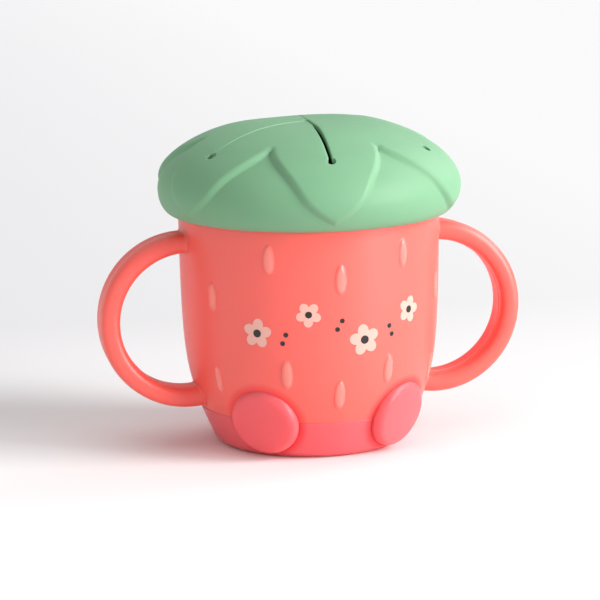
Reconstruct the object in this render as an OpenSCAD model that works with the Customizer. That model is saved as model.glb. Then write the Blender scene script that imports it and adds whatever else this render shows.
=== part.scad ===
// Toddler snack container: a two-handled cup with a soft boot and a press-on lid.
// Millimetres. Origin at the middle of the base, +Z up, the front towards -Y, the handles along X.

/* [Cup] */
// Outer radius of the cup at its rim
cup_r = 41; // [40.5:0.1:41]
// Height of the rim above the table
rim_z = 86.5; // [86:0.1:86.5]
// Wall thickness
wall = 2; // [1.6:0.1:2.2]
// Outer radius where the wall meets the rounded foot
foot_r = 30.6; // [30:0.1:31]
// Height of the rounded foot corner
foot_z = 2.5; // [2.4:0.1:2.8]
// Radius that the wall bulges towards above the foot
belly_r = 40.4; // [40:0.1:40.6]
// Height at which the wall bulges most
belly_z = 24.5; // [24:0.5:26]
// Radius of the flat that the cup stands on
base_r = 26.8; // [26:0.1:27.5]
// Height of the floor's top face
floor_z = 3.8; // [3.4:0.1:4.4]
// How far the lid's snap bead stands out of the wall
bead = 0.5; // [0.3:0.1:0.5]

/* [Seeds] */
// Length of a raised seed
seed_len = 8.8; // [7:0.1:9]
// Width of a raised seed
seed_w = 3.3; // [2.6:0.1:3.6]
// How far a seed stands out of the wall
seed_proud = 0.6; // [0.4:0.1:0.7]

/* [Handles] */
// Distance of each ring's centre from the cup's axis
ring_x = 39.9; // [39:0.1:41]
// Height of the ring's centre
ring_z = 40.5; // [40:0.1:42]
// Outer radius of the ring
ring_r = 27.4; // [26.5:0.1:28]
// Thickness of the ring, measured outwards
ring_t = 6; // [5.4:0.1:6.4]
// Depth of the ring, front to back
ring_d = 13.4; // [12:0.1:14]
// Step at the mould's parting line: the front part of the ring is this much larger all round
parting = 0.3; // [0.2:0.05:0.5]
// How far the parting line lies in front of the ring's middle
parting_y = 1; // [0:0.1:1.5]

/* [Boot] */
// Height of the soft boot's top edge
boot_z = 12.3; // [12:0.1:13]
// Thickness of the boot
boot_t = 1.6; // [1.4:0.1:1.8]
// How far the boot stands proud of the cup
boot_lip = 0.2; // [0.1:0.1:0.4]
// Radius of each foot pad at its widest
pad_r = 10.9; // [10.2:0.1:11]
// How far the middle of a pad stands out
pad_face = 2.4; // [2:0.1:2.8]
// Radius of a pad's rounded edge
pad_edge = 2.6; // [2:0.1:2.8]
// Angle of each foot pad from the front
pad_turn = 37.8; // [35:0.1:40]
// How far the pads lean downwards
pad_lean = 16.8; // [15:0.1:19]

/* [Lid] */
// Radius at the lid's widest line, over the leaves
leaf_r = 48.5; // [48.4:0.1:48.8]
// Height of the widest line
lid_z = 80.5; // [80:0.1:81]
// Height of the dome above the widest line, over the leaves
dome_h = 21.3; // [20.8:0.1:21.6]
// Height of the relief of the leaves
relief = 1.4; // [1:0.1:1.5]
// Wall of the lid between the leaves
lid_wall = 1.6; // [1.4:0.1:1.8]
// How far the lid is turned from the front
lid_turn = -3; // [-6:1:6]
// Height of a leaf's tip
tip_z = 75.2; // [75:0.2:76]
// Height of the notch between two leaves
notch_z = 95.7; // [95:0.1:96]

/* [Flaps] */
// Distance from the axis to the end of each slit
slit_r = 38.5; // [38:0.1:38.6]
// Width of a slit
slit_w = 1.2; // [0.8:0.1:1.4]
// Radius of the round hole at the end of a slit
slit_hole_r = 1.5; // [1.3:0.1:1.6]
// Thickness of a flap
flap_t = 1.8; // [1.6:0.1:1.9]
// Width of the groove at a flap's root, where it bends
root_gap = 1.35; // [1.35:0.05:1.5]

/* [Hidden] */
LEAVES = 6;
PITCH = 360 / LEAVES;
$fn = 96;

CORAL = [0.98, 0.43, 0.38];
PINK = [0.97, 0.38, 0.41];
GREEN = [0.58, 0.79, 0.65];

foot_step = boot_t - boot_lip;       // how far the cup's foot is drawn in under the boot
boot_floor = 1.4;                    // thickness of the boot under the cup
recess_r = 21;                       // shallow recess under the base
recess_h = 0.6;
corner_r = 3;                        // inner corner between the floor and the wall
bead_z = 77.8;
lip_r_out = 43.3;                    // lower edge of the lid
lip_r_in = 41.8;
lip_z = 73.35;
dome_power = 2.15;                   // 2 is an ellipse; more gives the dome a fuller shoulder
leaf_lean = 70;                      // the leaves' edges are cut along this lean from upright
leaf_side_r = 21.9;                  // radius of a leaf's rounded sides
leaf_side_x = 6.6;                   // their centres lie this far across the leaf's middle line
seat_r_in = 37;                      // the ring under the dome that the rim plugs into
seat_r_out = 43.2;
seat_z = 83.6;
thin_r = slit_r + 1.7;               // corners of the thinned hexagon that carries the flaps
hex_flat = slit_r * cos(PITCH / 2);  // distance from the axis to a flap's root
far = 200;

// ---- curves ----

// Point at t on the cubic curve through four control points
function bezier(p, t) = pow(1 - t, 3) * p[0] + 3 * t * pow(1 - t, 2) * p[1]
                      + 3 * t * t * (1 - t) * p[2] + pow(t, 3) * p[3];

// Points of an arc of radius r about c, from angle a to angle b
function arc(c, r, a, b, n) = [for (i = [0:n]) c + r * [cos(a + (b - a) * i / n), sin(a + (b - a) * i / n)]];

// The outside of the cup's wall, from the foot to the rim
wall_control = [[foot_r, foot_z], [belly_r, belly_z], [belly_r, belly_z], [cup_r, rim_z]];
wall_curve = [for (i = [0:28]) bezier(wall_control, i / 28)];

// Outer radius of the wall at height z
function wall_r(z) = lookup(z, [for (p = wall_curve) [p[1], p[0]]]);

// The rounded corner from the flat base up to the wall
foot_corner = [for (a = [-90:15:-15]) [base_r + (foot_r - base_r) * cos(a), foot_z * (1 + sin(a))]];

// Height of a dome of half width a and height b at radius r
function dome_z(r, a, b) = lid_z + b * sqrt(max(0, 1 - pow(r / a, dome_power)));

// Radius of the leaves' surface at height z: the dome, or the roll from its widest line to the lip
function leaf_surface_r(z) = z > lid_z
    ? leaf_r * pow(1 - pow((z - lid_z) / dome_h, 2), 1 / dome_power)
    : lip_r_out + (leaf_r - lip_r_out) * sqrt(1 - pow((lid_z - z) / (lid_z - lip_z), 2));

// Half outline of the lid at the given drop below the leaves' surface
function lid_outline(drop) =
    let (a = leaf_r - drop, b = dome_h - drop)
    concat([for (t = [0:6:84]) [lip_r_out + (a - lip_r_out) * sin(t), lid_z - (lid_z - lip_z) * cos(t)]],
           [for (t = [0:5:90]) [a * pow(cos(t), 2 / dome_power), lid_z + b * sin(t)]]);

// ---- shared solids ----

// The cup's whole outside, solid
module cup_outside() {
    rotate_extrude() polygon(concat([[0, 0]], foot_corner, wall_curve, [[0, rim_z]]));
}

// The boot's whole outside, solid
module boot_outside() {
    intersection() {
        rotate_extrude()
            polygon(concat([[0, 0]], [for (p = foot_corner) p + [boot_lip, 0]],
                           [for (p = wall_curve) p + [boot_lip, 0]], [[0, rim_z]]));
        cylinder(r = far, h = boot_z);
    }
}

// Solid under the surface of the lid at the given drop below the leaves
module dome(drop) {
    rotate_extrude() polygon(concat([[0, lip_z]], lid_outline(drop), [[0, lid_z]]));
}

// Prism with a flap's root on each side, corners at radius r
module flap_hexagon(r, z) {
    rotate([0, 0, -90]) translate([0, 0, z]) linear_extrude(far) circle(r = r, $fn = LEAVES);
}

// ---- cup ----

// One seed: a spindle sunk in the wall and leaning with it, which dips under the wall at 60 degrees
module seed(turn, z) {
    belly = (seed_w * seed_w / 4 + seed_proud * seed_proud) / (2 * seed_proud);
    slope = atan2(wall_r(z + 1) - wall_r(z - 1), 2);
    rotate([0, 0, turn]) translate([0, -(wall_r(z) + seed_proud - belly), z]) rotate([slope, 0, 0])
        rotate_extrude($fn = 24)
            polygon([for (a = [-90:18:90])
                     [belly - 2 * seed_proud * (1 - cos(a)), seed_len / sqrt(3) * sin(a)]]);
}

module seeds() {
    for (side = [0, 180]) rotate([0, 0, side]) {
        for (s = [[0, 57.7], [-31, 64], [31, 64], [-60.5, 50.7], [60.5, 50.7]]) seed(s[0], s[1]);
        for (s = [[0, 21.5], [-24, 28.4], [24, 28.4], [-60.5, 24.7], [60.5, 24.7]]) seed(s[0], s[1]);
    }
}

// The cup's foot, drawn in to fit inside the boot
module cup_foot() {
    intersection() {
        rotate_extrude()
            polygon(concat([[0, boot_floor], [base_r - foot_step, boot_floor]],
                           [for (p = wall_curve) p - [foot_step, 0]], [[0, rim_z]]));
        translate([0, 0, boot_floor]) cylinder(r = far, h = boot_z - boot_floor + 1);
    }
}

// The cup's outside above the boot and its foot, with its seeds, bead and rounded rim
module cup_solid() {
    intersection() {
        cup_outside();
        translate([0, 0, boot_z]) cylinder(r = far, h = rim_z - wall / 2 - boot_z);
    }
    cup_foot();
    rotate_extrude() translate([cup_r - wall / 2, rim_z - wall / 2]) circle(r = wall / 2, $fn = 32);
    rotate_extrude() translate([cup_r - 1, bead_z]) circle(r = 1 + bead, $fn = 32);
    seeds();
}

// The hollow that holds the snacks, with a rounded corner at the floor
module cup_hollow() {
    inner = [for (p = wall_curve) if (p[1] > floor_z + corner_r)
             [p[0] - wall - foot_step * max(0, 1 - p[1] / 16), p[1]]];
    corner = [inner[0][0] - corner_r, floor_z + corner_r];
    rotate_extrude()
        polygon(concat([[0, floor_z]], arc(corner, corner_r, -90, -15, 5), inner,
                       [[cup_r - wall, rim_z + 1], [0, rim_z + 1]]));
}

module cup_shell() {
    color(CORAL) difference() {
        cup_solid();
        cup_hollow();
    }
}

// ---- handles ----

// One side of the ring's section, t thick and d deep, rounded at its end
module ring_end(t, d) {
    square([t, d - t / 2]);
    translate([t / 2, d - t / 2]) circle(r = t / 2, $fn = 48);
}

// The ring's section: the back part is a little thinner, which leaves the parting step
module ring_section() {
    translate([0, parting_y]) {
        ring_end(ring_t, ring_d / 2 - parting_y);
        translate([parting, 0]) mirror([0, 1]) ring_end(ring_t - 2 * parting, ring_d / 2 + parting_y);
    }
}

// A ring on the +X side, cut off where it meets the cup
module handle() {
    color(CORAL) difference() {
        translate([ring_x, 0, ring_z]) rotate([90, 120, 0]) rotate_extrude(angle = 240)
            translate([ring_r - ring_t, 0]) ring_section();
        cup_outside();
    }
}

module handle_right() { handle(); }
module handle_left() { mirror([1, 0, 0]) handle(); }

// ---- boot ----

module base_boot() {
    color(PINK) difference() {
        boot_outside();
        cup_foot();
        translate([0, 0, -1]) cylinder(r = recess_r, h = 1 + recess_h);
    }
}

// A round, slightly crowned pad whose edge rolls back to a neck, cut to the cup and boot behind it
module foot(side) {
    place_r = 34.6;
    place_z = 12.1;
    crown = 0.5;
    root = 8;
    flat_r = pad_r - pad_edge;
    face = pad_face - crown;
    color(PINK) difference() {
        rotate([0, 0, side * pad_turn]) translate([0, -place_r, place_z]) rotate([90 + pad_lean, 0, 0])
            rotate_extrude()
                polygon(concat([[0, -root], [flat_r + pad_edge * cos(45), -root]],
                               arc([flat_r, face - pad_edge], pad_edge, -45, 75, 8),
                               [for (k = [0.75, 0.5, 0.25, 0]) [k * flat_r, face + crown * (1 - k * k)]]));
        cup_outside();
        boot_outside();
    }
}

module foot_left() { foot(-1); }
module foot_right() { foot(1); }

// ---- lid ----

// A leaf seen along its own lean: rounded sides from the tip, then straight to the notches
module leaf_outline() {
    tip = leaf_seen(0, tip_z);
    notch = leaf_seen(PITCH / 2, notch_z);
    middle = [-leaf_side_x, tip[1] + sqrt(leaf_side_r * leaf_side_r - leaf_side_x * leaf_side_x)];
    a = atan2(notch[1] - middle[1], notch[0] - middle[0]) - acos(leaf_side_r / norm(notch - middle));
    // the straight side starts just inside the arc, so that the two cross cleanly
    bend = middle + (leaf_side_r - 0.05) * [cos(a), sin(a)];
    top = notch[1] + 20;
    intersection_for (side = [-1, 1]) translate([side * middle[0], middle[1]]) circle(r = leaf_side_r);
    polygon([bend, notch, [notch[0], top], [-notch[0], top], [-notch[0], notch[1]], [-bend[0], bend[1]]]);
}

// A point of the leaves' surface, angle a from a leaf's middle, in the plane of the leaf's outline
function leaf_seen(a, z) = let (r = leaf_surface_r(z))
    [r * sin(a), -r * cos(a) * cos(leaf_lean) + z * sin(leaf_lean)];

// The star that cuts the leaves out of the lid's outer layer: six leaning prisms round a disc
module leaf_star() {
    for (k = [0:LEAVES - 1]) rotate([0, 0, k * PITCH]) rotate([leaf_lean, 0, 0])
        translate([0, 0, 60]) linear_extrude(40) leaf_outline();
    translate([0, 0, lid_z]) cylinder(r = leaf_surface_r(notch_z) + 0.3, h = 40);
}

// The hollow under the dome: skirt, dome and the thinned hexagon
module lid_hollow() {
    side = leaf_r - relief - 2;
    top = dome_h - relief - lid_wall;
    rotate_extrude()
        polygon(concat([[0, lip_z - 2], [lip_r_in, lip_z - 2], [lip_r_in, lip_z + 1.6]],
                       [for (t = [15:15:75]) [lip_r_in + (side - lip_r_in) * sin(t),
                                              lid_z - (lid_z - lip_z - 1.6) * cos(t)]],
                       [for (t = [0:5:90]) [side * pow(cos(t), 2 / dome_power), lid_z + top * sin(t)]]));
    intersection() {
        dome(flap_t);
        flap_hexagon(thin_r, lid_z + 6);
    }
}

// The ring under the dome with the groove that the rim plugs into
module lid_seat() {
    intersection() {
        dome(relief + 0.5);
        difference() {
            translate([0, 0, seat_z]) cylinder(r = seat_r_out, h = 20);
            translate([0, 0, seat_z - 1]) cylinder(r = seat_r_in, h = 22);
            translate([0, 0, seat_z - 1]) difference() {
                cylinder(r = lip_r_in, h = rim_z + 0.3 - seat_z + 1);
                cylinder(r = cup_r - wall - 0.3, h = 22);
            }
        }
    }
}

// The round hole that ends each slit, square to the dome
module slit_holes() {
    z = dome_z(slit_r, leaf_r, dome_h);
    lean = atan2(dome_z(slit_r - 1, leaf_r, dome_h) - dome_z(slit_r + 1, leaf_r, dome_h), 2);
    for (k = [0:LEAVES - 1]) rotate([0, 0, k * PITCH]) translate([0, -slit_r, z])
        rotate([lean, 0, 0]) translate([0, 0, -2.6]) cylinder(r = slit_hole_r, h = 6);
}

module lid_cover() {
    color(GREEN) rotate([0, 0, lid_turn]) difference() {
        union() {
            difference() {
                union() {
                    dome(relief);
                    intersection() {
                        dome(0);
                        leaf_star();
                    }
                    rotate_extrude() translate([(lip_r_out + lip_r_in) / 2, lip_z])
                        circle(d = lip_r_out - lip_r_in, $fn = 32);
                }
                lid_hollow();
            }
            lid_seat();
        }
        flap_hexagon(slit_r, dome_z(slit_r, leaf_r, dome_h) - 2.6);
        slit_holes();
    }
}

// One flap: the dome between two slits, free at its root groove
module flap(k) {
    half_slit = slit_w / 2;
    root = hex_flat - root_gap;
    tip = half_slit / sin(PITCH / 2);
    half_root = (root - tip) * tan(PITCH / 2);
    color(GREEN) rotate([0, 0, lid_turn]) difference() {
        intersection() {
            difference() {
                dome(0);
                dome(flap_t);
            }
            rotate([0, 0, (k - 0.5) * PITCH]) translate([0, 0, lid_z]) linear_extrude(far)
                polygon([[0, -tip], [half_root, -root], [-half_root, -root]]);
        }
        slit_holes();
    }
}

module flap_1() { flap(1); }
module flap_2() { flap(2); }
module flap_3() { flap(3); }
module flap_4() { flap(4); }
module flap_5() { flap(5); }
module flap_6() { flap(6); }

cup_shell();
handle_left();
handle_right();
base_boot();
foot_left();
foot_right();
lid_cover();
flap_1();
flap_2();
flap_3();
flap_4();
flap_5();
flap_6();
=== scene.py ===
"""Toddler snack container: a two-handled cup with a soft boot and a press-on lid with slit flaps.

Every shape is a surface worked out with numpy in millimetres, in the frame of the CAD model:
origin at the middle of the base, +Z up, the front towards -Y and the handles along X.
"""

import math

import bmesh
import bpy
import numpy as np
from bpy.props import FloatProperty, FloatVectorProperty, IntProperty, PointerProperty
from mathutils import Matrix, Vector


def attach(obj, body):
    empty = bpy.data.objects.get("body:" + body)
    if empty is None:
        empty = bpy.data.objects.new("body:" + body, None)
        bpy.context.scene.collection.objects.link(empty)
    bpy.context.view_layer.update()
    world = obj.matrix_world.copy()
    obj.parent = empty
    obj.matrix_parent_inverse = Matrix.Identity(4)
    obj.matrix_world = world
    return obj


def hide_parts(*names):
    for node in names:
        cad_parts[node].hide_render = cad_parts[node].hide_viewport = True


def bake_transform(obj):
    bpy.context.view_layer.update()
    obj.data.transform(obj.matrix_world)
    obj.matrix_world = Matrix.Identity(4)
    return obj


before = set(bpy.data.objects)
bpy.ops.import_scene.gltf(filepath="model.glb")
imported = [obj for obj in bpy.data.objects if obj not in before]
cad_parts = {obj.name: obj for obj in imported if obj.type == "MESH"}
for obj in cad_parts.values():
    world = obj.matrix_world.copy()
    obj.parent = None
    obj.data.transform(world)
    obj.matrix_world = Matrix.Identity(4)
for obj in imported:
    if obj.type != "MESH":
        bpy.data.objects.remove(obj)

bl_info = {
    "name": "Toddler Snack Container",
    "version": (1, 0, 0),
    "blender": (4, 5, 0),
    "location": "View3D > Sidebar > Snack Cup",
    "description": "Builds a toddler's snack cup with ring handles, a soft boot and a slit lid",
    "category": "Add Mesh",
}

MM = 0.001
LEAVES = 6                           # leaves, slits and flaps of the lid
PITCH = 360 / LEAVES
SHARP = math.radians(38)             # edges that fold by more than this stay sharp


# ---- numpy surfaces ----

def bezier(control, t):
    """Cubic curve: the control points weighted by the four Bernstein polynomials of t."""
    t = np.asarray(t, float)[..., None]
    p = np.asarray(control, float)
    return (1 - t) ** 3 * p[0] + 3 * t * (1 - t) ** 2 * p[1] + 3 * t * t * (1 - t) * p[2] + t ** 3 * p[3]


def smooth(x):
    """Smoothstep: 3x^2 - 2x^3 with x held between 0 and 1."""
    x = np.clip(x, 0, 1)
    return x * x * (3 - 2 * x)


def half_circle(x):
    """Height of a unit half circle: the root of 1 - x^2, and 0 past its ends."""
    return np.sqrt(np.clip(1 - x ** 2, 0, 1))


def arc(centre, radius, a, b, count):
    """Points on a circle of the given radius about centre, from angle a to b in degrees."""
    t = np.radians(np.linspace(a, b, count))
    return np.stack([centre[0] + radius * np.cos(t), centre[1] + radius * np.sin(t)], -1)


def resample(path, count):
    """The same path at evenly spaced arc lengths."""
    run = np.concatenate([[0], np.cumsum(np.hypot(*np.diff(path, axis=0).T))])
    s = np.linspace(0, run[-1], count)
    return np.stack([np.interp(s, run, path[:, 0]), np.interp(s, run, path[:, 1])], -1)


def clustered(places, width, fine, coarse, start, stop):
    """Values from start to stop, fine apart within width of each place and coarse apart elsewhere."""
    s = np.linspace(start, stop, 40001)
    gap = np.min(np.abs(s[:, None] - np.asarray(places)), axis=1)
    step = fine + (coarse - fine) * smooth((gap - width) / width)
    run = np.concatenate([[0], np.cumsum(0.5 * (1 / step[1:] + 1 / step[:-1]) * np.diff(s))])
    return np.interp(np.linspace(0, run[-1], math.ceil(run[-1]) + 1), run, s)


def furthest(low, high, test):
    """The value between low and high up to which test holds, found for whole arrays by halving."""
    for _ in range(36):
        mid = (low + high) / 2
        holds = test(mid)
        low, high = np.where(holds, mid, low), np.where(holds, high, mid)
    return high


def off_axis(points):
    """Distance of each point from the axis."""
    return np.hypot(points[..., 0], points[..., 1])


def polar(r, azimuth, z):
    """Points at radius r and height z, at an azimuth a counted from the front: (r sin a, -r cos a, z)."""
    return np.stack(np.broadcast_arrays(r * np.sin(azimuth), -r * np.cos(azimuth), z), -1)


def revolve(path, azimuth):
    """Surface of revolution: every (r, z) of the path at every azimuth."""
    path = np.asarray(path, float)
    return polar(path[:, :1], azimuth, path[:, 1:])


def between(a, b, share):
    """Rows of points from a to b, one for each share of the way: a (1 - share) + b share."""
    share = share.reshape(-1, *[1] * a.ndim)
    return a * (1 - share) + b * share


def spun(plan, angle):
    """A plan of (across, outwards) turned about the axis: (x cos + y sin, y cos - x sin)."""
    c, s = math.cos(angle), math.sin(angle)
    return plan @ np.array([[c, -s], [s, c]])


def grid_faces(rows, cols, first, closed):
    """Quads between neighbouring points of a grid, joined round when it is closed."""
    span = cols if closed else cols - 1
    i, j = np.meshgrid(np.arange(rows - 1), np.arange(span), indexing="ij")
    k = (j + 1) % cols
    quads = np.stack([i * cols + j, i * cols + k, (i + 1) * cols + k, (i + 1) * cols + j], -1)
    return quads.reshape(-1, 4) + first


class Shape:
    """Collects grids of points in millimetres and makes one closed, outward-facing mesh of them."""

    def __init__(self):
        self.points, self.faces, self.count = [], [], 0

    def grid(self, points, closed=False):
        """Adds a grid of points, joined round along its second axis when it is closed."""
        rows, cols = points.shape[:2]
        self.points.append(points.reshape(-1, 3))
        self.faces.append(grid_faces(rows, cols, self.count, closed))
        self.count += rows * cols
        return self

    def build(self, name, merge=0.004):
        """Merges points nearer than merge, turns the faces outwards and keeps sharp edges sharp."""
        points, faces = np.concatenate(self.points) * MM, np.concatenate(self.faces)
        mesh = bpy.data.meshes.new(name)
        mesh.from_pydata(points.tolist(), [], faces.tolist())
        work = bmesh.new()
        work.from_mesh(mesh)
        bmesh.ops.remove_doubles(work, verts=work.verts, dist=merge * MM)
        bmesh.ops.dissolve_degenerate(work, dist=1e-7, edges=work.edges)
        bmesh.ops.recalc_face_normals(work, faces=work.faces)
        work.to_mesh(mesh)
        work.free()
        mesh.shade_smooth()
        mesh.validate()
        mesh.set_sharp_from_angle(angle=SHARP)
        mesh.update()
        piece = bpy.data.objects.new(name, mesh)
        bpy.context.scene.collection.objects.link(piece)
        return piece


# ---- shader expressions ----

class Value:
    """A shader socket that adds Math nodes when it is used in arithmetic."""

    def __init__(self, maker, socket):
        self.maker, self.socket = maker, socket

    def _math(self, operation, *parts):
        return self.maker.node("ShaderNodeMath", {"operation": operation}, dict(enumerate(parts)))["Value"]

    def __add__(self, other): return self._math("ADD", self, other)
    def __radd__(self, other): return self._math("ADD", other, self)
    def __sub__(self, other): return self._math("SUBTRACT", self, other)
    def __rsub__(self, other): return self._math("SUBTRACT", other, self)
    def __mul__(self, other): return self._math("MULTIPLY", self, other)
    def __rmul__(self, other): return self._math("MULTIPLY", other, self)
    def __truediv__(self, other): return self._math("DIVIDE", self, other)
    def __abs__(self): return self._math("ABSOLUTE", self)

    def root(self):
        """The square root."""
        return self._math("SQRT", self)

    def held(self):
        """Held between 0 and 1."""
        return self._math("MAXIMUM", self._math("MINIMUM", self, 1.0), 0.0)


class Outputs:
    """The outputs of a node by name or place, each as a Value."""

    def __init__(self, maker, node):
        self.maker, self.sockets = maker, node.outputs

    def __getitem__(self, key):
        return Value(self.maker, self.sockets[key])


class Finish:
    """Builds one material from expressions."""

    def __init__(self, name):
        self.material = bpy.data.materials.new(name)
        self.material.use_nodes = True
        self.tree = self.material.node_tree
        self.tree.nodes.clear()
        self.out = self.tree.nodes.new("ShaderNodeOutputMaterial")
        self.where = self.node("ShaderNodeTexCoord")["Object"]
        axes = self.node("ShaderNodeSeparateXYZ", None, {"Vector": self.where})
        self.x, self.y, self.z = (axes[k] * (1 / MM) for k in "XYZ")

    def node(self, kind, settings=None, inputs=None):
        """A node with its settings set first and then its sockets, to numbers or to Values."""
        made = self.tree.nodes.new(kind)
        for key, value in (settings or {}).items():
            setattr(made, key, value)
        for key, value in (inputs or {}).items():
            socket = made.inputs[key]
            if isinstance(value, Value):
                self.tree.links.new(value.socket, socket)
            else:
                socket.default_value = value
        return Outputs(self, made)

    def noise(self, size_mm, detail):
        """Noise whose features are about size_mm across, from 0 to 1."""
        return self.node("ShaderNodeTexNoise", {"noise_dimensions": "3D"},
                         {"Vector": self.where, "Scale": 1 / (size_mm * MM), "Detail": detail})["Fac"]

    def mix(self, factor, a, b):
        """Colour a where factor is 0, b where it is 1. Sockets 6, 7 and 2 are the node's for colours."""
        return self.node("ShaderNodeMix", {"data_type": "RGBA"}, {0: factor, 6: a, 7: b})[2]

    def cloudy(self, colour, low, high, size_mm, detail):
        """The colour in soft patches, from low to high times as strong."""
        return self.mix(self.noise(size_mm, detail), rgba(colour, low), rgba(colour, high))

    def bump(self, height, strength, distance_mm):
        """The surface's normal, tilted by a height that runs from 0 to distance_mm."""
        return self.node("ShaderNodeBump", None, {"Height": height, "Strength": strength,
                                                  "Distance": distance_mm * MM})["Normal"]

    def show(self, node, name):
        """Shows the named output of a node as the material's surface."""
        self.tree.links.new(node[name].socket, self.out.inputs["Surface"])
        return self.material

    def surface(self, **inputs):
        """A principled surface whose sockets are named with underscores for spaces."""
        named = {name.replace("_", " "): value for name, value in inputs.items()}
        return self.show(self.node("ShaderNodeBsdfPrincipled", {"subsurface_method": "RANDOM_WALK"}, named),
                         "BSDF")


def rgba(colour, gain):
    """The colour times gain, with an alpha of 1."""
    return (colour[0] * gain, colour[1] * gain, colour[2] * gain, 1.0)


# ---- sizes and colours ----

def size_prop(name, description, default, least, most):
    """A length property, given in millimetres."""
    return FloatProperty(name=name, description=description, default=default * MM, min=least * MM,
                         max=most * MM, unit="LENGTH")


def colour_prop(name, description, default):
    """A property for a linear colour."""
    return FloatVectorProperty(name=name, description=description, default=default, size=3, min=0, max=1,
                               subtype="COLOR")


class CupSizes(bpy.types.PropertyGroup):
    """Sizes and colours of the cup, its rings, boot, pads and print"""
    rim_radius: size_prop("Rim radius", "Outer radius of the cup at its rim", 41, 40.5, 41)
    rim_height: size_prop("Rim height", "Height of the rim above the table", 86.5, 86, 86.5)
    wall: size_prop("Wall", "Thickness of the cup's wall", 2, 1.6, 2.2)
    boot_height: size_prop("Boot height", "Height of the soft boot's top edge", 12.3, 12, 13)
    seed_length: size_prop("Seed length", "Length of a raised seed", 9, 7, 9.4)
    seed_width: size_prop("Seed width", "Width of a raised seed", 3.4, 2.6, 3.6)
    seed_proud: size_prop("Seed height", "How far a seed stands out of the wall", 0.65, 0.4, 0.7)
    ring_radius: size_prop("Ring radius", "Outer radius of a ring handle", 27.4, 26.5, 28)
    ring_thickness: size_prop("Ring thickness", "Thickness of a ring, outwards", 6, 5.4, 6.4)
    ring_depth: size_prop("Ring depth", "Depth of a ring, front to back", 13.4, 12, 14)
    pad_radius: size_prop("Foot pad radius", "Radius of a round foot pad", 10.9, 10.2, 11)
    cup_colour: colour_prop("Cup colour", "Moulded plastic of cup and rings", (1.0, 0.136, 0.108))
    boot_colour: colour_prop("Boot colour", "Soft moulding of boot and pads", (1.0, 0.130, 0.145))
    # the seeds' paler colour is a painted highlight
    seed_highlight_colour: colour_prop("Seed colour", "Paler plastic of seeds and ridges", (1.0, 0.24, 0.2))
    ink_pale: colour_prop("Pale ink", "Petals of the printed blossoms", (0.83, 0.43, 0.36))
    ink_dark: colour_prop("Dark ink", "Dots of the printed blossoms", (0.012, 0.008, 0.009))


class LidSizes(bpy.types.PropertyGroup):
    """Sizes and colour of the lid and its flaps"""
    leaf_radius: size_prop("Leaf radius", "Radius at the lid's widest line", 48.5, 48.4, 48.8)
    wide_height: size_prop("Widest height", "Height of the lid's widest line", 80.5, 80, 81)
    dome_height: size_prop("Dome height", "Height of the dome over that line", 21.3, 20.8, 21.6)
    relief: size_prop("Leaf relief", "How far the leaves stand out", 1.4, 1, 1.5)
    leaf_edge: size_prop("Leaf edge", "Width of the soft edge of a leaf", 2.2, 1, 3)
    turn: FloatProperty(name="Turn", description="How far the lid is turned from the front",
                        default=math.radians(-3), min=-0.105, max=0.105, subtype="ANGLE")
    slit_radius: size_prop("Slit reach", "Distance from the axis to a slit's end", 38.5, 38, 38.6)
    slit_width: size_prop("Slit width", "Width of the open front slit", 1.2, 0.4, 1.4)
    slit_hole: size_prop("Slit hole", "Radius of the round hole that ends a slit", 1.5, 1.3, 1.6)
    flap_thickness: size_prop("Flap thickness", "Thickness of a flap", 1.8, 1.6, 1.9)
    columns: IntProperty(name="Columns", description="Points round the lid", default=744, min=180,
                         max=744)
    lid_colour: colour_prop("Lid colour", "Matte silicone of lid and flaps", (0.19, 0.395, 0.226))


# ---- the cup's forms ----

WALL = bezier([(30.6, 2.5), (40.4, 24.5), (40.4, 24.5), (41.0, 86.5)], np.linspace(0, 1, 400))
# azimuth in degrees and height of each seed on the front, which the back repeats
SEEDS = [(0, 57.7), (-31, 64), (31, 64), (-60.5, 50.7), (60.5, 50.7),
         (0, 21.5), (-24, 28.4), (24, 28.4), (-60.5, 24.7), (60.5, 24.7)]
PARTING_AHEAD = 2.0                  # the rings' parting line lies this far in front of their middle
RIDGE_AT = -0.28                     # the fine ridge, counted backwards from the parting line
PAD_TURN, PAD_LEAN = math.radians(37.8), math.radians(16.8)
PAD_OUT, PAD_UP = 34.6, 12.1         # radius and height at which a foot pad's axis leaves the wall


def props():
    """The sizes and colours of the cup and of the lid."""
    scene = bpy.context.scene
    return scene.snack_cup, scene.snack_lid


def pad_axis(side):
    """Middle of a foot pad where it leaves the wall, and the direction that it faces."""
    turn = PAD_TURN * side
    return polar(PAD_OUT, turn, PAD_UP), polar(math.cos(PAD_LEAN), turn, -math.sin(PAD_LEAN))


def wall_radius(z):
    """Outer radius of the cup's wall at height z, from the wall's curve."""
    return np.interp(z, WALL[:, 1], WALL[:, 0])


def wall_path(z, inset):
    """The wall's outline at the heights z, moved in by inset."""
    return np.stack([wall_radius(z) - inset, z], -1)


def seed_height(azimuth, z, length, width, proud):
    """Height of the seeds over the wall: proud times the half circle across times the root of
    1 - along^4. The half width is the half circle along, 12 % narrower at the upper tip and 12 % wider
    at the lower one."""
    total = np.zeros(np.broadcast(azimuth, z).shape)
    for turn in (0, 180):
        for place, height in SEEDS:
            across = np.radians((np.degrees(azimuth) - place - turn + 180) % 360 - 180)
            along = (z - height) / (length / 2)
            half = width / 2 * half_circle(along) * (1 - 0.12 * along)
            lift = half_circle(across * wall_radius(height) / np.maximum(half, 1e-4))
            lift = proud * lift * np.sqrt(np.clip(1 - along ** 4, 0, 1))
            total = np.maximum(total, np.where(half > 1e-3, lift, 0))
    return total


# ---- materials ----

def material(make):
    """The material that is made by, and named for, one of the functions below. It is made once."""
    name = make.__name__
    return bpy.data.materials.get(name) or make(Finish(name))


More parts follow.
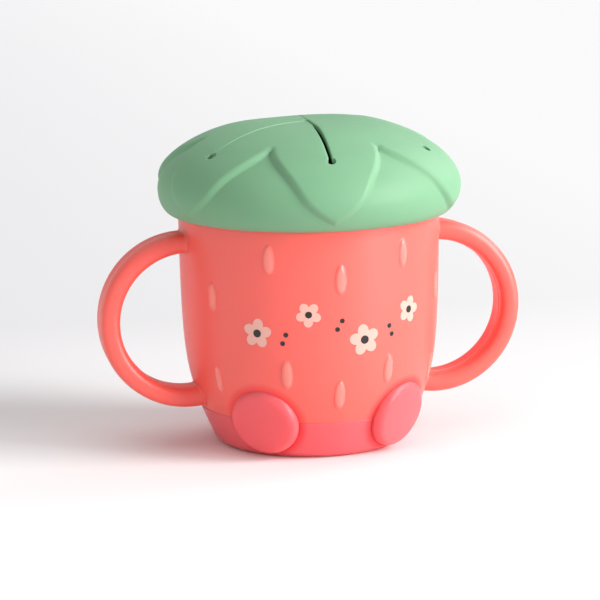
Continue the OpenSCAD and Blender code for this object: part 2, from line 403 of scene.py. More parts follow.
def pad_crease_shade(finish):
    """A mask of painted shade, most in the creases round the foot pads, a little outside a pad's radius
    from its axis, fading to either side and behind the pad. The pads mirror each other, so one axis and the
    size of x serve both."""
    cup, _ = props()
    most, outside, fade, start, run = 0.9, 0.2, 2.5, 2, 4
    origin, axis = pad_axis(1)
    gap = [v - float(o) for v, o in zip((abs(finish.x), finish.y, finish.z), origin)]
    along = gap[0] * float(axis[0]) + gap[1] * float(axis[1]) + gap[2] * float(axis[2])
    away = (gap[0] * gap[0] + gap[1] * gap[1] + gap[2] * gap[2] - along * along).root()
    near = 1 - abs(away - (cup.pad_radius / MM + outside)) / fade
    return most * near.held() * (along / run + (start + run) / run).held()


def plastic(finish, base, polish=0.0):
    """Satin moulded plastic that lets a little red light through, with painted shade in deep red in the
    creases at the pads. Where polish is 1 it is glossier."""
    # painted shade: deep red mixed into the colour round the foot pads
    base = finish.mix(pad_crease_shade(finish), base, (1.0, 0.022, 0.025, 1.0))
    return finish.surface(Base_Color=base, Roughness=0.36 + 0.03 * finish.noise(14, 1.0) - 0.22 * polish,
                          Subsurface_Weight=0.5, Subsurface_Scale=0.002,
                          Subsurface_Radius=(1.0, 0.2, 0.15), Specular_IOR_Level=0.6)


def cup_plastic(finish):
    """The cup's plastic, with a painted highlight (a paler colour) and a glossier surface where the seeds
    stand out: how far a point lies outside the wall is its distance from the axis less a polynomial of its
    height that follows the wall."""
    cup, _ = props()
    low, high, unit, degree = 12, 72, 50, 5
    heights = np.linspace(low + 2, high, 60)
    fitted = 0.0
    for factor in np.polyfit(heights / unit, wall_radius(heights), degree):
        fitted = fitted * (finish.z / unit) + float(factor)
    out = (finish.x * finish.x + finish.y * finish.y).root() - fitted
    middle, half = (low + high) / 2, (high - low) / 2
    fits = ((1 - abs(finish.z - middle) / half) * 50).held()     # 0 past the heights of the polynomial
    seed = (out * 2.4 - 0.25).held() * fits                      # from 0.1 mm out, full at 0.52 mm
    base = finish.cloudy(cup.cup_colour, 0.97, 1.02, 28, 1.0)
    # painted highlight: the paler colour on the seeds
    return plastic(finish, finish.mix(seed, base, rgba(cup.seed_highlight_colour, 1)), seed)


def ring_plastic(finish):
    """The rings' plastic, with a painted highlight on the fine ridge at the parting line and painted shade
    in the groove behind.
    """
    cup, _ = props()
    behind, groove_at = finish.y + PARTING_AHEAD, 0.35

    def line(place):
        """1 to 0.1 mm from a line round the ring behind the parting line, fading to 0 at 0.35 mm."""
        return (1.4 - abs(behind - place) * 4).held()

    base = finish.cloudy(cup.cup_colour, 0.97, 1.02, 28, 1.0)
    # painted shade: darker red in the groove behind the parting line
    base = finish.mix(line(groove_at), base, (0.6, 0.025, 0.025, 1.0))
    # painted highlight: a paler colour on the fine ridge
    return plastic(finish, finish.mix(line(RIDGE_AT), base, (1.0, 0.42, 0.36, 1.0)))


def soft_moulding(finish, crease_shade=0.0):
    """Satin elastomer of the foot pads, with painted shade in deep red where the given shade mask is 1."""
    cup, _ = props()
    # painted shade: deep red mixed in where the shade mask is 1
    base = finish.mix(crease_shade, finish.cloudy(cup.boot_colour, 0.96, 1.03, 20, 1.0), (1.0, 0.022, 0.03, 1.0))
    return finish.surface(Base_Color=base, Roughness=0.34 + 0.06 * finish.noise(6, 2.0),
                          Subsurface_Weight=0.8, Subsurface_Scale=0.004,
                          Subsurface_Radius=(1.0, 0.3, 0.28), Specular_IOR_Level=0.35)


def boot_moulding(finish):
    """The same elastomer on the boot, with painted shade in the creases at the pads."""
    return soft_moulding(finish, pad_crease_shade(finish))


def silicone(finish):
    """Matte silicone with a fine grain, which lets a little green light through."""
    _, lid = props()
    return finish.surface(Base_Color=finish.cloudy(lid.lid_colour, 0.95, 1.04, 22, 2.0),
                          Roughness=0.48 + 0.1 * finish.noise(1.5, 3.0),
                          Normal=finish.bump(finish.noise(0.35, 3.0), 0.2, 0.04),
                          Subsurface_Weight=0.4, Subsurface_Scale=0.003,
                          Subsurface_Radius=(0.5, 1.0, 0.6), Specular_IOR_Level=0.35)


def pale_ink(finish):
    """Screen-printed ink of the petals."""
    cup, _ = props()
    return finish.surface(Base_Color=finish.cloudy(cup.ink_pale, 0.96, 1.04, 1.2, 2.0),
                          Roughness=0.3 + 0.1 * finish.noise(0.8, 2.0))


def dark_ink(finish):
    """Screen-printed ink of the dots."""
    cup, _ = props()
    return finish.surface(Base_Color=finish.cloudy(cup.ink_dark, 0.8, 1.3, 1.2, 2.0),
                          Roughness=0.25 + 0.1 * finish.noise(0.8, 2.0))


def pale_floor(finish):
    """A pale floor with painted shade, greyer far behind and more so on the left. It is dimmer to the light
    that it throws back on the cup than to the camera and to mirrors and glass."""
    behind = (finish.y / 300 + 0.33).held()
    left = (0.5 - finish.x / 500).held()
    # painted shade: the floor's colour greys towards the back and the left
    pale = finish.mix(behind * (left * 0.5 + 0.5), (0.94, 0.94, 0.94, 1.0), (0.6, 0.594, 0.607, 1.0))
    seen = finish.node("ShaderNodeBsdfDiffuse", None, {"Color": pale})
    dull = finish.node("ShaderNodeBsdfDiffuse", None, {"Color": (0.84, 0.84, 0.84, 1.0)})
    path = finish.node("ShaderNodeLightPath")
    camera = path["Is Camera Ray"] + path["Is Glossy Ray"] + path["Is Transmission Ray"]
    return finish.show(finish.node("ShaderNodeMixShader", None,
                                   {0: camera, 1: dull["BSDF"], 2: seen["BSDF"]}), "Shader")


# ---- operators ----

def finish_piece(piece, body, make, slot, *nodes):
    """Gives a piece its material and the body it rides on, and hides the CAD nodes it stands for. The slot
    is not used.
    """
    piece.data.materials.append(material(make))
    if body:
        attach(piece, body)
    if nodes:
        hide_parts(*nodes)


class SNACK_OT_cup(bpy.types.Operator):
    """Make the cup: an outer wall with raised seeds, a rounded rim and a hollow inside"""
    bl_idname = "snack.cup"
    bl_label = "Cup"

    def execute(self, context):
        cup, _ = props()
        rim, top, wall = cup.rim_radius / MM, cup.rim_height / MM, cup.wall / MM
        boot, shoulder = cup.boot_height / MM, top - wall / 2

        # outside, with its points close together at the seeds and a bead that the lid snaps under
        seed_turns = [(place + turn + 180) % 360 - 180 for place, _ in SEEDS for turn in (0, 180)]
        azimuth = np.radians(clustered([*seed_turns, 180], width=3.2, fine=0.45, coarse=2.6,
                                       start=-180, stop=180)[:-1])
        high = clustered([height for _, height in SEEDS], width=4.6, fine=0.38, coarse=1.6,
                         start=boot, stop=shoulder)[:, None]
        bead_out, bead_z, bead_half = 0.5, 77.8, 1.6
        lift = bead_out * half_circle((high - bead_z) / bead_half)
        lift = lift + seed_height(azimuth, high, cup.seed_length / MM, cup.seed_width / MM,
                                  cup.seed_proud / MM)
        shape = Shape().grid(polar(wall_radius(high) + lift, azimuth, high), True)

        # rounded rim, inside, rounded corner and floor: the wall is thicker near the floor
        floor_z, corner_radius, thicker, thick_up_to = 3.8, 3.0, 1.3, 16
        edge = arc((rim - wall / 2, shoulder), wall / 2, 0, 180, 13)
        edge[0] = wall_radius(shoulder), shoulder
        down = np.linspace(shoulder, 7.5, 16)
        inner = wall_path(down, wall + thicker * np.clip(1 - down / thick_up_to, 0, 1))
        corner = arc((inner[-1, 0] - corner_radius, floor_z + corner_radius), corner_radius, -8, -90, 8)
        floor = np.stack([np.linspace(corner[-1, 0], 0, 4), np.full(4, floor_z)], -1)
        shape.grid(revolve(np.concatenate([edge[:-1], inner, corner, floor[1:]]), azimuth), True)

        # the foot that stands in the boot
        foot_z, foot_flat, foot_inset = 1.42, 25.4, 1.32
        foot = np.concatenate([[[0, foot_z], [foot_flat, foot_z]],
                               wall_path(np.linspace(2.6, boot, 8), foot_inset),
                               [[wall_radius(boot), boot]]])
        shape.grid(revolve(foot, azimuth), True)
        finish_piece(shape.build("cup"), "cup", cup_plastic, "cup", "cup_shell")
        return {"FINISHED"}


class SNACK_OT_handles(bpy.types.Operator):
    """Make the two ring handles: a rounded section carried round a circle into the cup's wall"""
    bl_idname = "snack.handles"
    bl_label = "Ring handles"

    def execute(self, context):
        cup, _ = props()
        radius, thick, depth = cup.ring_radius / MM, cup.ring_thickness / MM, cup.ring_depth / MM
        step, centre_x, centre_z, fillet = 0.2, 39.9, 40.5, 0.7
        ridge_out, ridge_half, groove_in, groove_wide, step_wide = 0.16, 0.3, 0.32, 0.8, 1.2

        def flank(behind):
            """The flank's distance from the section's middle at a place behind the parting line: a fine
            ridge of half a circle before it, a groove of a squared sine after it, then the back part,
            which is a step thinner."""
            ridge = ridge_out * half_circle((behind - RIDGE_AT) / ridge_half)
            groove = groove_in * np.sin(np.pi * np.clip(behind / groove_wide, 0, 1)) ** 2
            return thick / 2 + ridge - groove - step * smooth(behind / step_wide)

        # the section: one flank, the round back, the other flank and the nose, which is flattened to a
        # superellipse of power 2.5
        first, last = thick / 2 + PARTING_AHEAD - depth / 2, depth / 2 + PARTING_AHEAD - thick / 2 + step
        before, after = RIDGE_AT - ridge_half, RIDGE_AT + ridge_half
        behind = np.concatenate([np.linspace(first, before - 0.04, 5)[1:], np.linspace(before, after, 11),
                                 np.linspace(0.1, step_wide, 12), np.linspace(1.6, last, 6)[:-1]])
        outside = np.stack([flank(behind), behind], -1)
        nose = arc((0, 0), 1, 180, 360, 31)
        nose = np.sign(nose) * np.abs(nose) ** (2 / 2.5) * thick / 2 + [0, first]
        section = np.concatenate([outside, arc((0, last), thick / 2 - step, 0, 180, 27),
                                  outside[::-1] * [-1, 1], nose])
        section += [radius - thick / 2, -PARTING_AHEAD]

        # the section's outward normals, for the fillet at the wall
        closed = np.concatenate([section[-1:], section, section[:1]])
        along = closed[2:] - closed[:-2]
        normal = np.stack([along[:, 1], -along[:, 0]], -1)
        normal /= np.linalg.norm(normal, axis=-1, keepdims=True)
        flip = np.sign(np.sum(normal * (section - [radius - thick / 2, 0]), -1))
        normal *= np.where(flip == 0, 1, flip)[:, None]

        # distances from the wall at which the section is drawn, the last inside it
        levels = np.array([2.0, 1.4, 1.0, 0.7, 0.5, 0.35, 0.22, 0.12, 0.05, 0.0, -0.8])[:, None]

        def clear(angle):
            """How far outside the cup's wall each point of the section is at its angle round the ring."""
            x = centre_x + section[:, 0] * np.cos(angle)
            z = centre_z + section[:, 0] * np.sin(angle)
            return np.hypot(x, section[:, 1]) - wall_radius(z)

        def ends(sign):
            """Angles at which each point of the section is the given levels away from the wall."""
            spread = np.ones((len(levels), len(section)))
            return sign * furthest(math.radians(60) * spread, math.radians(150) * spread,
                                   lambda angle: clear(sign * angle) > levels)

        upper, lower = ends(1), ends(-1)
        middle = between(lower[0], upper[0], np.linspace(0, 1, 130)[1:-1])
        angle = np.concatenate([lower[::-1], middle, upper])
        away = np.concatenate([levels[::-1], np.full((len(middle), 1), fillet), levels])
        grow = fillet * (1 - half_circle(1 - np.clip(away / fillet, 0, 1)))
        rho = section[:, 0] + normal[:, 0] * grow
        y = section[:, 1] + normal[:, 1] * grow
        ring = np.stack([centre_x + rho * np.cos(angle), y, centre_z + rho * np.sin(angle)], -1)
        for name, side in (("handle_right", 1), ("handle_left", -1)):
            points = ring * [side, 1, 1]
            shape = Shape().grid(points, True)
            for cap in (points[0], points[-1]):
                shape.grid(np.stack([cap, np.broadcast_to(cap.mean(axis=0), cap.shape)]), True)
            finish_piece(shape.build(name), "cup", ring_plastic, "cup", name)
        return {"FINISHED"}


class SNACK_OT_boot(bpy.types.Operator):
    """Make the soft boot round the cup's foot: a revolved profile with a recess under it"""
    bl_idname = "snack.boot"
    bl_label = "Soft boot"

    def execute(self, context):
        cup, _ = props()
        boot, proud, thick = cup.boot_height / MM, 0.2, 1.4
        azimuth = np.radians(np.linspace(-180, 180, 361)[:-1])
        recess = [[0, 0.6], [20.8, 0.6], [21, 0.55], [21.1, 0.1], [21.3, 0]]
        corner = bezier([(27.6, 0), (29.2, 0.7), (30.4, 1.5), (30.8, 2.5)], np.linspace(0, 1, 10))
        wall = wall_path(np.linspace(2.7, boot - proud, 26), -proud)
        lip = arc(wall[-1] - [proud, 0], proud, 20, 90, 5)
        inner = wall_path(np.linspace(boot, 2.6, 8), thick)
        path = np.concatenate([recess, corner, wall, lip, inner, [[25.4, thick], [0, thick]]])
        piece = Shape().grid(revolve(path, azimuth), True).build("boot")
        finish_piece(piece, "cup", boot_moulding, "boot", "base_boot")
        return {"FINISHED"}


class SNACK_OT_feet(bpy.types.Operator):
    """Make the two foot pads: a crowned, soft-edged disc whose side runs back into the boot"""
    bl_idname = "snack.feet"
    bl_label = "Foot pads"

    def execute(self, context):
        cup, _ = props()
        pad, face, edge, crown, buried = cup.pad_radius / MM, 1.9, 2.6, 0.5, 0.9
        phi = np.radians(np.linspace(0, 360, 145)[:-1])[:, None]
        flat = np.linspace(0, 1, 14)[:-1]
        roll = arc((pad - edge, face - edge), edge, 80, -45, 22)
        across = np.concatenate([flat * (pad - edge), roll[:, 0]])
        proud = np.concatenate([face + crown * (1 - flat ** 2), roll[:, 1]])
        for name, side in (("foot_right", 1), ("foot_left", -1)):
            origin, axis = pad_axis(side)
            right = np.array([-axis[1], axis[0], 0.0]) / math.hypot(axis[0], axis[1])
            upward = np.cross(axis, right)

            def place(r, height):
                """Circles of radius r at heights along the pad's axis."""
                circle = right * np.cos(phi) + upward * np.sin(phi)
                return origin + r[:, None, None] * circle + height[:, None, None] * axis

            def sunk(points):
                """The way back along the axis from where each point is buried in the wall."""

                def outside(far):
                    p = points - far[..., None] * axis
                    return off_axis(p) > wall_radius(np.maximum(p[..., 2], WALL[0, 1])) - buried

                start = np.full(points.shape[:-1], -2.0)
                return furthest(start, start + 11, outside)[..., None] * axis

            front = place(across, proud)
            neck = front[-1]
            side_wall = neck - np.linspace(0, 1, 6)[:, None, None] * sunk(neck)
            base = place(np.linspace(1, 0, 8) * across[-1], np.full(8, proud[-1]))
            back = base - sunk(base)
            back[0] = side_wall[-1]
            shape = Shape().grid(front, True).grid(side_wall, True).grid(back, True)
            finish_piece(shape.build(name), "cup", soft_moulding, "boot", name)
        return {"FINISHED"}


# ---- the lid's forms ----

DOME_POWER = 2.15
TIP_Z, NOTCH_Z = 75.7, 96.9          # heights of the leaves' tips and of the notches between them
LEAF_LEAN = math.radians(0.6)        # the leaves sit this far round from the slits
LIP_IN, LIP_R, LIP_Z = 41.8, 42.55, 72.85
TOP_R = 42.5                         # inside this radius the lid's points run towards its inner border
ROOT_Z = 93.0                        # height of the flaps' roots


class LidForm:
    """The lid's curves in millimetres, from the sizes of the add-on."""

    def __init__(self):
        _, lid = props()
        self.a, self.b, self.mid = lid.leaf_radius / MM, lid.dome_height / MM, lid.wide_height / MM
        self.relief, self.edge, self.turn = lid.relief / MM, lid.leaf_edge / MM, lid.turn
        self.slit, self.hole = lid.slit_radius / MM, lid.slit_hole / MM
        self.thick = lid.flap_thickness / MM
        self.side = math.radians(PITCH / 2)
        self.flat = self.slit * math.cos(self.side)
        u = np.linspace(0, 1, 90)
        z = TIP_Z + (NOTCH_Z - TIP_Z) * u
        self.edge_line = polar(self.radius(z), self.leaf_angle(u), z)

    def leaf_angle(self, u):
        """Angle from a leaf's middle to its edge: 30 degrees times u plus a sine of one turn, less the
        square of a sine of half a turn. u runs from 0 at the tip's height to 1 at the notch's."""
        wave = 0.062 * np.sin(2 * np.pi * u) - 0.05 * np.sin(np.pi * u) ** 2
        return self.side * (u + wave)

    def height(self, r, drop=0.0):
        """Superellipse dome: z = mid + b sqrt(1 - (r / a)^power), each half width less the drop."""
        share = np.clip(r / (self.a - drop), 0, 1) ** DOME_POWER
        return self.mid + (self.b - drop) * np.sqrt(1 - share)

    def over(self, plan, drop=0.0):
        """The dome's points over a plan of (x, y)."""
        return np.concatenate([plan, self.height(off_axis(plan), drop)[..., None]], -1)

    def radius(self, z):
        """The same dome's radius at height z, and under its widest line the quarter ellipse to the lip."""
        up = self.a * half_circle((z - self.mid) / self.b) ** (2 / DOME_POWER)
        low = LIP_R + (self.a - LIP_R) * half_circle((self.mid - z) / (self.mid - LIP_Z))
        return np.where(z >= self.mid, up, low)

    def flank(self):
        """The outside over the leaves from the lip up to TOP_R on the dome, at even spacing."""
        t = np.radians(np.linspace(0, 90, 60))
        low = np.stack([LIP_R + (self.a - LIP_R) * np.sin(t),
                        self.mid - (self.mid - LIP_Z) * np.cos(t)], -1)
        t = np.radians(np.linspace(0, 90, 1400)[1:])
        high = np.stack([self.a * np.cos(t) ** (2 / DOME_POWER), self.mid + self.b * np.sin(t)], -1)
        path = np.concatenate([low, high])
        past = np.argmax(path[:, 1] > self.height(TOP_R))
        return resample(path[:past + 1], 72)

    def sunk(self, azimuth, z, points):
        """How far a point lies under the leaves. A step from 0 to 1 crosses the soft edge, by the
        distance to the leaf's edge line, which is positive inside the leaf. The depth is the relief
        times 0.85 (1 - step)^2 + 0.15 (1 - smoothstep of the step)."""
        fold = np.abs((azimuth + LEAF_LEAN + self.side) % (2 * self.side) - self.side)
        folded = polar(off_axis(points), fold, points[..., 2]).reshape(-1, 3)
        near = np.full(len(folded), np.inf)
        for line in np.array_split(self.edge_line, 9):
            gap = np.linalg.norm(folded[:, None, :] - line[None, :, :], axis=-1).min(axis=1)
            near = np.minimum(near, gap)
        near = near.reshape(fold.shape)
        u = np.clip((z - TIP_Z) / (NOTCH_Z - TIP_Z), 0, 1)
        inside = (z > NOTCH_Z) | ((z > TIP_Z) & (fold < self.leaf_angle(u)))
        step = np.clip(0.4 + np.where(inside, near, -near) / self.edge, 0, 1)
        return self.relief * (0.85 * (1 - step) ** 2 + 0.15 * (1 - smooth(step)))

    def carved(self, points):
        """Points of the dome moved in along its normal, in the plane of their meridian, by how far they
        lie under the leaves. Under the widest line they draw straight in, and not at all at the lip."""
        azimuth = np.arctan2(points[..., 0], -points[..., 1])
        r, z = off_axis(points), points[..., 2]
        dr, straight = 0.02, 0.5
        rise = self.height(np.minimum(r + dr, self.a)) - self.height(np.minimum(r, self.a) - dr)
        slope = rise / (2 * dr)
        above = z > self.mid + straight
        inward = np.where(above, -slope / np.sqrt(1 + slope ** 2), 1.0)
        down = np.where(above, 1 / np.sqrt(1 + slope ** 2), 0.0)
        depth = self.sunk(azimuth, z, points)
        depth *= np.where(z < self.mid, np.clip((r - LIP_R) / (self.a - LIP_R), 0, 1), 1)
        return points - polar(inward, azimuth, down) * depth[..., None]

    def turned(self, points):
        """The points turned about the axis by the lid's turn."""
        return np.concatenate([spun(points[..., :2], -self.turn), points[..., 2:]], -1)

    def pressed(self, points):
        """Slight unevenness of the soft top: a sum of Gaussian bumps and dips in height, each given by
        its height, its middle and its width."""
        spots = ((0.7, 24.0, 14.0, 11.0), (0.4, -22.0, 12.0, 8.0), (-0.75, -1.0, 0.0, 9.0),
                 (-0.35, -7.5, 20.3, 9.0))
        return sum(high * np.exp(-(off_axis(points - [x, y, 0]) / wide) ** 2 / 2)
                   for high, x, y, wide in spots)


class SNACK_OT_lid(bpy.types.Operator):
    """Make the lid: a dome with a star of raised leaves, a lip, a seat ring and the slit holes"""
    bl_idname = "snack.lid"
    bl_label = "Lid"

    def border(self, form, count):
        """The lid's inner border seen from above, and the azimuth that each of its points faces: at each
        corner of a hexagon the outer part of a slit's hole, then the hexagon's side to the next one."""
        outer_part = math.radians(120)       # the hole is open this far to either side of straight out
        wide = math.radians(8)               # half of the azimuth that a hole's points share
        per = count // LEAVES
        round_hole = int(per * 0.3) // 2 * 2
        beta = np.linspace(-outer_part, outer_part, round_hole + 1)
        hole = np.stack([form.hole * np.sin(beta), form.slit + form.hole * np.cos(beta)], -1)
        t = np.linspace(0, 1, per - round_hole + 1)[1:-1]
        reach = form.flat * math.tan(form.side) - form.hole
        edge = spun(np.stack([reach * (2 * t - 1), np.full(t.shape, form.flat)], -1), form.side)
        facing = np.concatenate([beta / outer_part * wide, wide + 2 * (form.side - wide) * t])
        plan = np.concatenate([hole, edge])
        turns = 2 * form.side * np.arange(LEAVES)
        return (np.concatenate([spun(plan, turn) for turn in turns]),
                np.concatenate([facing + turn for turn in turns]))

    def execute(self, context):
        _, lid = props()
        form = LidForm()
        plan, azimuth = self.border(form, lid.columns)

        # outside: the flank is revolved, and from TOP_R the points run straight to the inner border
        base = revolve(form.flank(), azimuth)
        inner = plan * [1, -1]
        flat = between(base[-1, :, :2], inner, np.linspace(0, 1, 25)[1:])
        outer = form.carved(np.concatenate([base, form.over(flat)]))
        outer[..., 2] += form.pressed(form.turned(outer)) * smooth((outer[..., 2] - 90) / 4)

        # lip, skirt, the dome's inside and the seat ring, all revolved
        thick, skirt_thick, skirt_z = 1.6, 2.0, LIP_Z + 2.1
        lip = arc((LIP_R, LIP_Z + LIP_R - LIP_IN), LIP_R - LIP_IN, -90, -180, 6)
        side, crown = form.a - form.relief - skirt_thick, form.b - form.relief - thick
        t = np.radians(np.linspace(10, 90, 6))
        skirt = np.stack([LIP_IN + (side - LIP_IN) * np.sin(t),
                          form.mid - (form.mid - skirt_z) * np.cos(t)], -1)
        t = np.radians(np.linspace(6, 18, 3))
        inside = np.stack([side * np.cos(t) ** (2 / DOME_POWER), form.mid + crown * np.sin(t)], -1)
        seat = [[43.2, 86.2], [43.2, 83.9], [42.9, 83.6], [42.0, 83.6], [41.8, 83.8], [41.8, 86.6],
                [41.5, 86.8], [39.0, 86.8], [38.7, 86.6], [38.7, 83.8], [38.5, 83.6],
                [37.3, 83.6], [37.0, 83.9], [37.0, 91.0]]
        below = revolve(np.concatenate([lip, [[LIP_IN, skirt_z - 0.2]], skirt, inside, seat]), azimuth)

        # from the seat ring to the border's underside, held under the dome, and up to the outside
        share = np.linspace(0, 1, 7)[1:]
        close = between(below[-1], form.over(inner, form.thick), share)
        under = form.height(off_axis(close), form.thick)
        close[..., 2] = np.minimum(close[..., 2], under - 0.3 * (1 - share[:, None]))
        wall = between(close[-1], outer[-1], np.linspace(0, 1, 4))

        shape = Shape()
        for points in (outer, np.concatenate([below, close]), wall):
            shape.grid(form.turned(points), True)
        finish_piece(shape.build("lid"), "lid", silicone, "lid", "lid_cover")
        return {"FINISHED"}


class SNACK_OT_flaps(bpy.types.Operator):
    """Make the six flaps between the slits: curved sheets that reach from their roots towards the middle"""
    bl_idname = "snack.flaps"
    bl_label = "Flaps"

    def execute(self, context):
        _, lid = props()
        form = LidForm()
        shut_gap, open_gap, round_edge = 0.08, lid.slit_width / MM / 2, 0.32
        lifts = {1: 0.35, 2: 0.15, 6: -0.15}             # the free ends of these flaps lie off the dome

        # rows from the root to near the middle, close together by the holes
        rows = np.concatenate([np.linspace(0, 1.6, 12)[:-1], np.linspace(1.6, form.flat - 1.0, 64)])
        q = form.flat - rows

        def reach(gap):
            """Width of a flap to one side at each row: to the slit's edge, or to the hole's circle where
            that is nearer."""
            slit = q * math.tan(form.side) - gap / math.cos(form.side)
            circle = form.flat * math.tan(form.side) - form.hole * half_circle(rows / form.hole)
            return np.where(rows < form.hole, np.minimum(slit, circle), slit)

        # the front slit stands open from its hole to near the middle, the others are nearly shut
        shut = reach(shut_gap)
        opened = reach(shut_gap + (open_gap - shut_gap) * smooth((q - 7.5) / 6))
        for k in range(1, LEAVES + 1):
            left = opened if k == 1 else shut
            right = opened if k == LEAVES else shut

            # columns across the flap, close together at its rounded edges
            inset = np.array([0, 0.04, 0.12, 0.22, 0.35])
            inset = inset * np.clip(np.minimum(left, right) / 1.2, 0.05, 1)[:, None]
            share = np.linspace(0, 1, 41)[1:-1]
            first, last = -left[:, None] + inset, right[:, None] - inset[:, ::-1]
            middle = first[:, -1:] + (last[:, :1] - first[:, -1:]) * share
            x = np.concatenate([first, middle, last], axis=1)

            # the flap seen from above, its top side carved like the lid and rounded to its slits
            name, phi = "flap_%d" % k, math.radians((k - 0.5) * PITCH)
            plan = spun(np.stack(np.broadcast_arrays(x, q[:, None]), -1), phi) * [1, -1]
            top = form.turned(form.carved(form.over(plan)))
            bottom = form.turned(form.over(plan, form.thick))
            from_edge = np.clip(np.minimum(x + left[:, None], right[:, None] - x), 0, round_edge)
            drop = round_edge * (1 - half_circle(1 - from_edge / round_edge))
            lift = form.pressed(bottom) + lifts.get(k, 0) * smooth(rows / 14)[:, None]
            top[..., 2] += lift - drop * smooth((rows - 0.2) / 1.5)[:, None]
            bottom[..., 2] += lift

            shape = Shape().grid(top).grid(bottom)
            for upper, lower in ((top[:, 0], bottom[:, 0]), (top[:, -1], bottom[:, -1]),
                                 (top[0], bottom[0]), (top[-1], bottom[-1])):
                shape.grid(between(upper, lower, np.linspace(0, 1, 5)))
            piece = shape.build(name, merge=0.003)
            finish_piece(piece, None, silicone, "lid", name)
            start, end = (tuple(polar(form.flat - back, form.turn + phi, ROOT_Z) * MM)
                          for back in (0.2, 3.0))
            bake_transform(piece)
        return {"FINISHED"}


class SNACK_OT_print(bpy.types.Operator):
    """Print small plain blossoms with dots on the front of the cup, as thin discs of ink"""
    bl_idname = "snack.print_blossoms"
    bl_label = "Printed blossoms"

    def disc(self, shape, azimuth, z, radius, petals=1, depth=0.0, turn=0.0, lift=0.07):
        """A disc of ink laid on the wall: across becomes an angle round the cup and up stays height. Its
        rim is the radius times 1 - depth + depth |cos(petals angle / 2)|^0.8."""
        phi = np.radians(np.linspace(0, 360, 121)[:-1])
        rim = radius * (1 - depth + depth * np.abs(np.cos(petals * (phi - turn) / 2)) ** 0.8)
        share = np.linspace(0, 1, 9)[:, None]
        high = z + share * rim * np.sin(phi)
        a = math.radians(azimuth) + share * rim * np.cos(phi) / wall_radius(z)
        front = polar(wall_radius(high) + lift, a, high)
        back = polar(wall_radius(high) - 0.1, a, high)
        shape.grid(front, True).grid(back, True).grid(np.stack([front[-1], back[-1]]), True)

    def execute(self, context):
        pale, dark = Shape(), Shape()
        blossoms = [(-37, 41.0, 4.6, 0.2), (-14, 47.2, 3.9, 0.9), (11, 38.6, 4.9, 0.5),
                    (35, 46.0, 4.2, 1.3)]
        dots = [(-25.5, 38.2), (-24, 40.9), (-1.5, 42.4), (0.6, 45.0), (23.5, 42.0), (25, 39.3)]
        for azimuth, z, radius, turn in blossoms:
            self.disc(pale, azimuth, z, radius, petals=5, depth=0.42, turn=turn)
            self.disc(dark, azimuth, z, radius * 0.27, lift=0.12)
        for azimuth, z in dots:
            self.disc(dark, azimuth, z, 0.75)
        finish_piece(pale.build("print_pale"), "cup", pale_ink, "cup")
        finish_piece(dark.build("print_dark"), "cup", dark_ink, "cup")
        return {"FINISHED"}


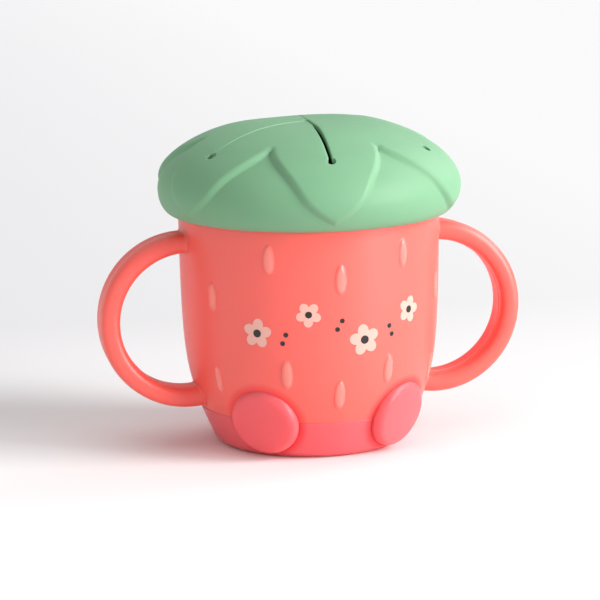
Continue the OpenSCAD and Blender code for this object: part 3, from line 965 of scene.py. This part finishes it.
class SNACK_OT_stage(bpy.types.Operator):
    """Set the floor, soft lights, pale world and the camera"""
    bl_idname = "snack.stage"
    bl_label = "Stage"

    def execute(self, context):
        scene = context.scene
        under = -0.02                        # a hair below the cup's base
        x, y = np.meshgrid(np.linspace(-9000, 9000, 5), np.linspace(-9000, 9000, 5))
        floor = Shape().grid(np.stack([x, y, np.full(x.shape, under)], -1)).build("floor")
        floor.data.materials.append(material(pale_floor))

        world = bpy.data.worlds.new("studio")
        world.use_nodes = True
        background = world.node_tree.nodes["Background"].inputs
        background["Color"].default_value = (1.0, 0.995, 1.0, 1.0)
        background["Strength"].default_value = 0.47
        scene.world = world

        def softbox(name, azimuth, elevation, strength, width):
            """A far lamp at the given azimuth and elevation whose disc is width degrees across."""
            data = bpy.data.lights.new(name, "SUN")
            data.energy, data.angle = strength * math.pi, math.radians(width)
            a, e = math.radians(azimuth), math.radians(elevation)
            toward = Vector(polar(math.cos(e), a, math.sin(e)))
            made = bpy.data.objects.new(name, data)
            made.location = toward * 2
            made.rotation_euler = toward.to_track_quat("Z", "Y").to_euler()
            scene.collection.objects.link(made)

        softbox("key", 63, 33, 0.76, 24)
        softbox("front", 47, 8, 0.82, 26)
        softbox("rim", 120, 30, 0.28, 40)
        softbox("top", -60, 72, 0.1, 60)
        softbox("fill", -62, 10, 0.085, 60)

        # camera: 1.0 m away, 10.65 degrees up, turned 13.5 degrees to the cup's left, with a slight roll
        place, target, roll = Vector((-0.2301, -0.9584, 0.2353)), Vector((0, 0, 0.05)), math.radians(0.687)
        forward = (target - place).normalized()
        level = forward.cross(Vector((0, 0, 1))).normalized()
        upright = level.cross(forward)
        data = bpy.data.cameras.new("camera")
        data.sensor_width, data.lens = 36.0, 191.44
        data.shift_x, data.shift_y = -0.01558, -0.03137
        data.clip_start, data.clip_end = 0.05, 50
        camera = bpy.data.objects.new("camera", data)
        turn = Matrix((level, upright, -forward)).transposed() @ Matrix.Rotation(-roll, 3, "Z")
        camera.matrix_world = Matrix.Translation(place) @ turn.to_4x4()
        scene.collection.objects.link(camera)
        scene.camera = camera
        scene.view_settings.view_transform = "Standard"
        return {"FINISHED"}


class SNACK_PT_panel(bpy.types.Panel):
    """Lists the container's sizes, colours and pieces"""
    bl_label = "Snack Cup"
    bl_idname = "SNACK_PT_panel"
    bl_space_type = "VIEW_3D"
    bl_region_type = "UI"
    bl_category = "Snack Cup"

    def draw(self, context):
        for group in (context.scene.snack_cup, context.scene.snack_lid):
            box = self.layout.box()
            for name in group.__annotations__:
                box.prop(group, name)
        for operator in OPERATORS:
            self.layout.operator(operator.bl_idname)


OPERATORS = (SNACK_OT_stage, SNACK_OT_cup, SNACK_OT_handles, SNACK_OT_boot, SNACK_OT_feet, SNACK_OT_lid,
             SNACK_OT_flaps, SNACK_OT_print)
CLASSES = (CupSizes, LidSizes, *OPERATORS, SNACK_PT_panel)


def register():
    for cls in CLASSES:
        bpy.utils.register_class(cls)
    bpy.types.Scene.snack_cup = PointerProperty(type=CupSizes)
    bpy.types.Scene.snack_lid = PointerProperty(type=LidSizes)


def unregister():
    del bpy.types.Scene.snack_lid
    del bpy.types.Scene.snack_cup
    for cls in reversed(CLASSES):
        bpy.utils.unregister_class(cls)


def main():
    """Builds every piece."""
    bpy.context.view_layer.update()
    register()
    bpy.ops.snack.stage()
    bpy.ops.snack.cup()
    bpy.ops.snack.handles()
    bpy.ops.snack.boot()
    bpy.ops.snack.feet()
    bpy.ops.snack.lid()
    bpy.ops.snack.flaps()
    bpy.ops.snack.print_blossoms()


if __name__ == "__main__":
    main()
